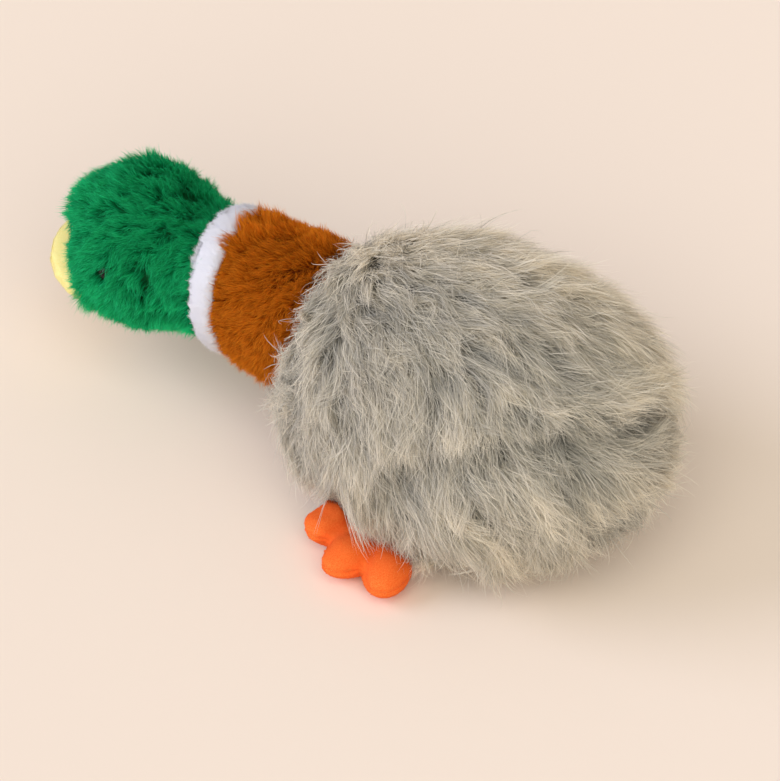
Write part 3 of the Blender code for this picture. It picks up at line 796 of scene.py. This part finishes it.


# Body

# Combing directions, read one by one
BODY_FLOW = (
    (322, 262, 150), (297, 298, 150), (276, 340, 135), (270, 375, 115), (280, 412, 85), (345, 248, 150),
    (340, 275, 110), (318, 310, 120), (300, 350, 105), (296, 395, 85),
    (370, 240, 20), (420, 230, 8), (470, 235, 4), (530, 250, 8), (600, 300, 25), (650, 350, 40),
    (320, 300, 85), (350, 300, 50), (390, 290, 30), (440, 290, 20), (500, 300, 28), (560, 320, 35),
    (610, 350, 42), (330, 360, 80), (370, 390, 60), (410, 350, 50), (450, 400, 80), (470, 430, 88),
    (430, 430, 80), (500, 350, 48), (520, 375, 48), (560, 402, 22), (600, 412, 4), (650, 405, -12),
    (680, 410, -5), (320, 440, 70), (350, 480, 78), (370, 510, 80), (420, 480, 48), (430, 540, 50),
    (480, 500, 52), (520, 480, 58), (560, 540, 55), (535, 575, 45), (600, 450, 45), (640, 445, 15),
    (325, 470, 76), (340, 490, 80), (352, 520, 84), (358, 545, 82),
    (670, 440, 0), (620, 500, 30), (650, 480, 10), (600, 560, 60), (660, 520, 20), (480, 570, 45),
)

BODY_STROKES = (
    # The crease that the upper fur hangs over, with painted shade in it and painted highlight on the fur above
    # it
    stroke(11, [(398, 480), (420, 470), (455, 462), (495, 455), (530, 450), (575, 444), (620, 436),
                (655, 424)], length=-0.35, lift=-0.15, tone=-0.18, rise=-4),
    stroke(8, [(402, 472), (412, 490)], length=-0.3, tone=-0.25, bare=0.6),
    stroke(6, [(486, 457), (500, 460)], tone=-0.2, bare=0.5),
    stroke(7, [(534, 446), (580, 446)], length=-0.2, tone=-0.2, rise=-1, bare=0.4),
    stroke(6, [(636, 434), (652, 422)], length=-0.2, tone=-0.2, rise=-1, bare=0.4),
    stroke(7, [(440, 436), (466, 442), (490, 440)], length=0.1, lift=0.25, tone=0.2, rise=2),
    # Locks with painted highlight, and painted shade in the partings beside them
    stroke(5, [(480, 346), (502, 368), (522, 381)], length=-0.3, tone=-0.3, bare=0.6),
    stroke(6, [(485, 340), (512, 351), (526, 364), (546, 380)], lift=0.2, tone=0.3),
    stroke(7, [(500, 390), (522, 404), (547, 412), (580, 416), (610, 416), (640, 402)],
           lift=0.2, tone=0.28, rise=2),
    stroke(7, [(522, 413), (536, 422)], length=-0.3, tone=-0.35, bare=0.6),
    stroke(6, [(550, 358), (566, 370), (586, 384)], length=-0.3, tone=-0.25, bare=0.4),
    stroke(8, [(560, 482), (572, 502)], length=-0.3, tone=-0.3, bare=0.5),
    stroke(6, [(600, 478), (620, 490)], tone=-0.25, bare=0.4),
    stroke(8, [(602, 538), (620, 528), (636, 516)], length=-0.45, tone=-0.35, bare=0.5),
    stroke(6, [(364, 312), (394, 322)], length=-0.3, tone=-0.25, bare=0.4),
    stroke(6, [(326, 350), (333, 366)], length=-0.3, tone=-0.25, bare=0.5),
    stroke(6, [(316, 303), (330, 305)], tone=-0.2, bare=0.3),
    stroke(6, [(418, 365), (430, 378)], tone=-0.25, bare=0.4),
    stroke(5, [(438, 386), (456, 394)], length=-0.3, tone=-0.3, bare=0.5),
    stroke(5, [(470, 370), (484, 382)], tone=-0.25, bare=0.5),
    stroke(5, [(402, 272), (416, 280)], tone=-0.2, bare=0.3),
    stroke(8, [(440, 515), (477, 532), (515, 566), (538, 588)], length=0.25, lift=0.1, tone=0.3, rise=2),
    stroke(6, [(507, 460), (540, 505), (552, 535)], lift=0.15, tone=0.25),
    stroke(6, [(590, 503), (602, 528)], lift=0.15, tone=0.25),
    stroke(8, [(570, 545), (600, 574)], length=0.15, tone=0.2),
    stroke(9, [(620, 476), (672, 482)], length=0.15, lift=0.3, tone=0.25),
    stroke(8, [(622, 500), (655, 508)], lift=0.3, tone=0.2),
    # The tangled front, fuller and with a little painted light at the neck opening
    stroke(34, [(345, 262), (318, 290), (302, 330), (296, 380), (305, 420)],
           length=-0.28, lift=0.1, mess=0.4, tone=0.05, rise=1.5),
    stroke(14, [(348, 248), (322, 256), (300, 288), (284, 320), (276, 360), (278, 390)],
           length=-0.2, tone=0.1, rise=4),
    stroke(8, [(312, 230), (290, 251), (268, 283), (252, 326), (248, 380)], bare=0.95),
    stroke(11, [(284, 238), (262, 266), (244, 304), (234, 350)], bare=1.3),
    # The crown that the fur falls away from, which has no bare parting, with painted highlight on it
    stroke(12, [(374, 250), (366, 284)], lift=0.2, tone=0.25),
    # A lock that stands up
    stroke(5, [(391, 238), (395, 228)], length=0.3, lift=1.1),
    # Painted highlight on the soft edges along the top and the right side
    stroke(36, [(350, 240), (460, 238), (560, 270)], length=0.05, lift=0.1, tone=0.4),
    stroke(40, [(600, 330), (640, 390)], tone=0.1),
    stroke(20, [(600, 282), (650, 345), (690, 415), (690, 470)], length=0.25, lift=0.4, tone=0.25),
    # The edge over the foot, and wisps that hang over it
    stroke(9, [(331, 507), (339, 520), (346, 545)], bare=1.6),
    stroke(13, [(308, 518), (326, 532), (336, 552)], bare=1.6),
    stroke(7, [(352, 474), (358, 500)], length=0.75, lift=0.3, tone=0.25),
)

# Fur is one piece to each side, level and band along the body
UPPER_FUR = 0.06
FUR_BANDS = (-1, 0.022, 0.064, 0.105, 1)

BODY_CLOTH = 2 * MM
SOCKET_GAP = 1 * MM

LONG_FUR = {
    "density": 3.3e6, "clump_size": 3.2 * MM, "length": 28 * MM, "length_range": (0.5, 1.1),
    "lift": (0.5, 0.04), "lift_wander": 0.14, "lift_scale": 20 * MM, "lift_jitter": 0.15, "clump": (0.35, 0.9),
    "frizz": 1.1 * MM, "loose": 0.26, "fly": 1.3 * MM, "width": 0.31 * MM, "steps": 6, "turn": 0.3,
    "curl": 0.5, "stray": 2.4,
}


def quarters(name, points, level):
    """Each point's part of a coat: left or right, and above or below a level."""
    left = points[:, 0] >= 0
    high = points[:, 2] > level
    return {
        f"{name}_left_upper": left & high, f"{name}_left_lower": left & ~high,
        f"{name}_right_upper": ~left & high, f"{name}_right_lower": ~left & ~high,
    }


def make_body(materials):
    covers = ["back_panel", "belly_panel", "back_stuffing", "belly_stuffing", "squeaker_base",
              "squeaker_reed", "squeaker_bellows", "squeaker_crown"]
    whole = skin("body_skin", covers, voxel=4 * MM, rounds=3, swell=-3 * MM)
    above_floor(whole)
    pressed(whole, BODY_STROKES)
    ground = Ground(whole)
    seam = Vector((0, 0, BACK_SEAM_HEIGHT))
    back = half(whole, "back_cover", seam, UPWARD, BODY_CLOTH)
    belly = half(whole, "belly_cover", seam, -UPWARD, BODY_CLOTH)
    finished(back, "body", materials["grey_cloth"], "grey_fur", "back_panel", fill=0.9)
    finished(belly, "body", materials["grey_cloth"], "grey_fur", "belly_panel", fill=0.9)
    for node in ("back_stuffing", "belly_stuffing"):
        filling(node, "body", materials["fibrefill"], BODY_STROKES, swell=-3 * MM)
    bpy.data.objects.remove(whole)

    def keep(points, normals):
        from_pivot = np.linalg.norm(points - np.array(NECK_PIVOT), axis=1)
        outside_socket = from_pivot > NECK_BALL_RADIUS + SOCKET_GAP
        off_floor = (points[:, 2] > 3 * MM) | (normals[:, 2] > -0.5)
        return outside_socket & off_floor

    def flow(points, normals):
        return combed(BODY_FLOW, points, normals, wander=0.3, wander_scale=24 * MM, seed=11)

    def split(points):
        parts = {}
        sides = {"left": points[:, 0] >= 0, "right": points[:, 0] < 0}
        levels = {"upper": points[:, 2] >= UPPER_FUR, "lower": points[:, 2] < UPPER_FUR}
        for side, chosen in sides.items():
            for level, tall in levels.items():
                for index, (start, end) in enumerate(zip(FUR_BANDS[:-1], FUR_BANDS[1:])):
                    within = (points[:, 1] >= start) & (points[:, 1] < end)
                    parts[f"fur_{side}_{level}_{index + 1}"] = chosen & tall & within
        return parts

    coat(
        "body_fur", ground, "body", materials["grey_strands"], "grey_fur", keep, flow, LONG_FUR,
        BODY_STROKES, split, seed=1,
    )


# Neck and collar

NECK_FLOW = (
    (228, 240, 212), (225, 280, 190), (224, 320, 180), (232, 350, 170), (250, 232, 228), (280, 226, 245),
    (310, 236, 250), (250, 262, 190), (250, 300, 140), (255, 340, 120), (275, 260, 140), (280, 300, 110),
    (270, 350, 100), (300, 250, 120),
)

NECK_STROKES = (
    # Painted highlight along the top edge, and longer where it leans over the collar
    stroke(12, [(250, 226), (285, 224), (320, 234)], tone=0.3),
    stroke(14, [(232, 240), (244, 226), (262, 214)], length=0.8, rise=1.5),
)

COLLAR_STROKES = (
    stroke(14, [(211, 234), (225, 218), (241, 208)], length=1.2, rise=0.6),
)

# The neck's pile, by places ahead of the pivot, and shorter inside the socket
NECK_PILE_FROM = -23 * MM
NECK_PILE_TO = 31 * MM
SHORT_PILE_FROM = 9 * MM
SHORT_PILE_FADE = 6 * MM
SHORT_PILE = 0.6

COLLAR_PILE = {
    "density": 15e6, "clump_size": 1.2 * MM, "length": 3.7 * MM, "length_range": (0.85, 1.1),
    "lift": (0.7, 0.2), "lift_wander": 0.1, "lift_scale": 9 * MM, "lift_jitter": 0.1, "dense": True,
    "clump": (0.0, 0.15), "frizz": 0.3 * MM, "loose": 0.12, "fly": 0.2 * MM, "width": 0.3 * MM, "steps": 3,
    "turn": 0.4, "curl": 0.4, "stray": 1.9,
}


def make_neck(materials):
    nodes = ["neck_cover", "neck_stuffing"]
    cover = skin("neck_plush_cover", nodes, voxel=2.5 * MM, rounds=4, swell=-2 * MM)
    pressed(cover, NECK_STROKES)
    ground = Ground(cover)
    finished(cover, "neck", materials["brown_cloth"], "brown_plush", "neck_cover", fill=0.9)
    filling("neck_stuffing", "neck", materials["fibrefill"], NECK_STROKES, swell=-3.6 * MM)

    def keep(points, normals):
        ahead = -(points[:, 1] - NECK_PIVOT.y)
        not_on_end = np.abs(normals[:, 1]) < 0.93
        return (ahead > NECK_PILE_FROM) & (ahead < NECK_PILE_TO) & not_on_end

    def short_in_socket(points):
        """The pile is shorter where the ball of the neck is inside the body."""
        inside = points[:, 1] - NECK_PIVOT.y
        return 1 - SHORT_PILE * smooth((inside - SHORT_PILE_FROM) / SHORT_PILE_FADE)

    def flow(points, normals):
        return combed(NECK_FLOW, points, normals, wander=0.6, wander_scale=10 * MM, seed=21)

    def split(points):
        return quarters("neck_pile", points, NECK_PIVOT.z)

    spec = {
        **PILE, "density": 8.5e6, "length": 7.6 * MM, "length_at": short_in_socket, "lift": (1.15, 0.42),
        "lift_wander": 0.2, "lift_scale": 9 * MM,
    }
    coat(
        "neck_pile", ground, "neck", materials["brown_strands"], "brown_plush", keep, flow, spec,
        NECK_STROKES, split, seed=2,
    )


def make_collar(materials):
    band = skin("collar_band", ["collar"], voxel=1.2 * MM, rounds=6, swell=-0.2 * MM)
    pressed(band, COLLAR_STROKES)
    ground = Ground(band)
    finished(band, "neck", materials["white_cloth"], "white_plush", "collar", fill=0.6)

    def outward(points):
        return unit((points - np.array(HEAD_PIVOT)) * np.array([1, 0, 1]))

    def on_band(points, normals):
        outside = (outward(points) * normals).sum(axis=1) > 0.1
        front_edge = normals[:, 1] < -0.3
        return outside | front_edge

    def towards_head(points, normals):
        way = AHEAD + 0.4 * outward(points)
        return unit(way - (way * normals).sum(axis=1, keepdims=True) * normals)

    def halves(points):
        return {"collar_pile_left": points[:, 0] >= 0, "collar_pile_right": points[:, 0] < 0}

    coat(
        "collar_pile", ground, "neck", materials["white_strands"], "white_plush", on_band, towards_head,
        COLLAR_PILE, COLLAR_STROKES, halves, seed=3,
    )


# Head and bill

HEAD_FLOW = (
    (62, 200, 175), (75, 175, 190), (100, 165, 185), (130, 160, 178), (160, 165, 175), (190, 178, 185),
    (215, 195, 190), (100, 195, 180), (140, 200, 178), (180, 205, 182), (210, 225, 185), (80, 225, 150),
    (100, 235, 160), (140, 235, 165), (180, 240, 175), (75, 245, 130), (90, 262, 130), (115, 262, 110),
    (150, 265, 110), (185, 270, 150), (95, 285, 140), (120, 290, 95), (145, 290, 85), (170, 295, 110),
    (190, 300, 140), (110, 312, 120), (140, 325, 100), (170, 322, 150), (200, 330, 160),
)

HEAD_STROKES = (
    # The brow over the bill, the crown and the throat
    stroke(17, [(71, 184), (60, 203)], length=1, lift=0.1, tone=0.1, rise=12),
    stroke(5, [(57, 221), (63, 226), (63, 238)], bare=1.4, rise=-2),
    stroke(22, [(155, 158), (104, 158), (82, 178)], length=0.1, lift=0.1, rise=3.4),
    stroke(18, [(198, 168), (222, 184)], rise=-2.4),
    stroke(16, [(140, 335), (210, 348)], rise=3),
    # Partings, with painted shade in them
    stroke(4.5, [(143, 277), (143, 288)], tone=-0.5, bare=1.3, rise=-1.5),
    stroke(3.5, [(141, 296), (141, 303)], tone=-0.5, bare=1.2),
    stroke(4, [(128, 268), (134, 272)], tone=-0.4, bare=0.9),
    stroke(4, [(113, 203), (121, 211)], tone=-0.4, bare=0.9),
    stroke(4, [(134, 168), (144, 171)], tone=-0.3, bare=0.7),
    stroke(4, [(180, 190), (194, 197)], tone=-0.4, bare=0.8),
    stroke(4, [(95, 213), (99, 220)], tone=-0.3, bare=0.7),
    stroke(4, [(160, 232), (170, 238)], tone=-0.3, bare=0.6),
    stroke(4, [(170, 296), (182, 300)], tone=-0.3, bare=0.7),
    stroke(5, [(150, 316), (172, 318), (196, 322)], tone=-0.35, bare=0.7),
    # Painted highlight on the tips low on the cheek
    stroke(8, [(158, 326), (200, 334)], lift=-0.1, tone=0.45),
    stroke(4, [(146, 310), (170, 309), (192, 313)], length=0.2, lift=0.2, tone=0.3),
    stroke(9, [(95, 296), (104, 306)], length=0.25, lift=0.1, tone=0.2),
    stroke(9, [(78, 282), (87, 294)], length=0.5, lift=0.1, tone=0.1, rise=3),
    # The eye's opening in the pile, with painted shade around the eye
    stroke(3.5, [(100, 272), (102, 275)], tone=-0.5, bare=1.1),
)

HEAD_CLOTH = 2 * MM
BILL_CLOTH = 1.2 * MM
BILL_SEAM_DEPTH = 1 * MM

# Where pile starts: ahead of the head's pivot, and behind the bill's centre
HEAD_PILE_FROM = 2 * MM
BILL_NAP_FROM = 14 * MM


def make_head(materials):
    panels = ["head_left_panel", "head_right_panel", "head_stuffing"]
    whole = skin("head_skin", panels, voxel=2.5 * MM, rounds=4, swell=-2.5 * MM)
    pressed(whole, HEAD_STROKES)
    ground = Ground(whole)
    left = half(whole, "left_cheek_cover", Vector(), LEFTWARD, HEAD_CLOTH)
    right = half(whole, "right_cheek_cover", Vector(), -LEFTWARD, HEAD_CLOTH)
    finished(left, "head", materials["green_cloth"], "green_plush", "head_left_panel", fill=0.9)
    finished(right, "head", materials["green_cloth"], "green_plush", "head_right_panel", fill=0.9)
    filling("head_stuffing", "head", materials["fibrefill"], HEAD_STROKES, swell=-3.8 * MM)
    bpy.data.objects.remove(whole)
    eyes = [sum(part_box(f"{side}_eye"), Vector()) / 2 for side in ("left", "right")]

    def keep(points, normals):
        ahead = -(points[:, 1] - HEAD_PIVOT.y)
        clear = np.ones(len(points), dtype=bool)
        for eye in eyes:
            clear &= np.linalg.norm(points - np.array(eye), axis=1) > EYE_RADIUS
        return clear & (ahead > HEAD_PILE_FROM)

    def flow(points, normals):
        return combed(HEAD_FLOW, points, normals, wander=0.6, wander_scale=11 * MM, seed=41)

    def split(points):
        return quarters("head_pile", points, HEAD_PIVOT.z)

    spec = {
        **PILE, "density": 7.5e6, "length": 8.2 * MM, "lift": (1.15, 0.4), "lift_wander": 0.3,
        "lift_scale": 10 * MM,
    }
    coat(
        "head_pile", ground, "head", materials["green_strands"], "green_plush", keep, flow, spec,
        HEAD_STROKES, split, seed=4,
    )


def make_bill(materials):
    nodes = ["bill_upper", "bill_lower", "bill_stuffing"]
    whole = skin("bill_skin", nodes, voxel=1 * MM, rounds=8, swell=0.3 * MM)
    up = Vector((0, math.sin(BILL_RISE), math.cos(BILL_RISE)))
    sewn(whole, BILL_CENTRE, up, BILL_SEAM_DEPTH)
    ground = Ground(whole)
    upper = half(whole, "bill_top_cover", BILL_CENTRE, up, BILL_CLOTH)
    lower = half(whole, "bill_under_cover", BILL_CENTRE, -up, BILL_CLOTH)
    finished(upper, "head", materials["yellow_cloth"], "yellow_plush", "bill_upper", fill=0.8)
    finished(lower, "head", materials["yellow_cloth"], "yellow_plush", "bill_lower", fill=0.8)
    filling("bill_stuffing", "head", materials["fibrefill"], (), swell=-0.6 * MM)
    bpy.data.objects.remove(whole)

    def keep(points, normals):
        return points[:, 1] < BILL_CENTRE.y + BILL_NAP_FROM

    def flow(points, normals):
        return unit(AHEAD - normals * normals @ AHEAD[:, None])

    spec = {
        **NAP, "density": 5e6, "clump_size": 1.6 * MM, "length": 1.2 * MM, "lift": (0.6, 0.1),
        "variety": 0.5, "frizz": 0.12 * MM, "width": 0.16 * MM,
    }
    coat("bill_nap", ground, "head", materials["yellow_strands"], "yellow_plush", keep, flow, spec, seed=5)


def make_eyes():
    glass = plastic_material("eye_black", (0.006, 0.005, 0.005), roughness=0.12, grain=60, gloss=0.15)
    grey = plastic_material("washer_plastic", (0.8, 0.8, 0.78), roughness=0.5, grain=90)
    for side in ("left", "right"):
        repaint(f"{side}_eye", glass)
        repaint(f"{side}_eye_washer", grey)


# Feet and squeaker

FOOT_STROKES = (
    # Creases between the toes, with painted shade in them
    stroke(6, [(320, 550), (334, 532), (352, 520)], tone=-0.3, rise=-1.6),
    stroke(6, [(362, 582), (364, 562), (378, 540)], tone=-0.3, rise=-1.6),
    # Plump toes, with painted highlight where they face the light and painted shade where toe one meets the
    # fur
    stroke(14, [(318, 522), (334, 510)], tone=0.1, rise=1.8),
    stroke(9, [(332, 508), (342, 516)], tone=-0.2, rise=3.5),
    stroke(13, [(334, 562), (345, 548)], tone=0.15, rise=1.2),
    stroke(14, [(384, 582), (394, 566)], tone=0.1, rise=1.2),
    stroke(10, [(312, 540), (304, 528)], tone=0.5),
    stroke(10, [(326, 572), (346, 580)], tone=0.5),
    stroke(11, [(368, 580), (384, 596)], tone=0.5),
)


FOOT_CLOTH = 1.1 * MM
FOOT_SEAM_DEPTH = 0.9 * MM


def make_foot(side, materials):
    nodes = [f"{side}_foot_{part}" for part in ("top", "sole", "stuffing")]
    whole = skin(f"{side}_foot_skin", nodes, voxel=1.2 * MM, rounds=8, swell=0)
    pressed(whole, FOOT_STROKES)
    above_floor(whole)
    seam = Vector((0, 0, FOOT_SEAM_HEIGHT))
    sewn(whole, seam, UPWARD, FOOT_SEAM_DEPTH)
    ground = Ground(whole)
    top = half(whole, f"{side}_foot_upper", seam, UPWARD, FOOT_CLOTH)
    sole = half(whole, f"{side}_foot_under", seam, -UPWARD, FOOT_CLOTH)
    body = f"{side}_foot"
    finished(top, body, materials["orange_cloth"], "orange_plush", nodes[0], fill=0.8)
    finished(sole, body, materials["orange_cloth"], "orange_plush", nodes[1], fill=0.8)
    filling(nodes[2], body, materials["fibrefill"], FOOT_STROKES, swell=-1.5 * MM)
    bpy.data.objects.remove(whole)

    def keep(points, normals):
        return normals[:, 2] > -0.7

    def flow(points, normals):
        way = np.array([1.0 if side == "left" else -1.0, -0.2, -0.2])
        return unit(way - normals * (normals @ way)[:, None])

    spec = {
        **NAP, "density": 4e6, "clump_size": 1.5 * MM, "length": 1.0 * MM, "lift": (0.5, 0.1),
        "variety": 0.3, "frizz": 0.1 * MM, "width": 0.14 * MM,
    }
    coat(
        f"{side}_foot_nap", ground, body, materials["orange_strands"], "orange_plush", keep, flow, spec,
        FOOT_STROKES, seed=6,
    )


def make_squeaker():
    plastic = plastic_material("squeaker_white", (0.78, 0.79, 0.8), roughness=0.35, grain=70)
    for node in ("base", "reed", "bellows", "crown"):
        repaint(f"squeaker_{node}", plastic)


make_camera()
make_light()
make_floor()
finishes = make_materials()
make_body(finishes)
make_neck(finishes)
make_collar(finishes)
make_head(finishes)
make_bill(finishes)
make_eyes()
make_foot("left", finishes)
make_foot("right", finishes)
make_squeaker()
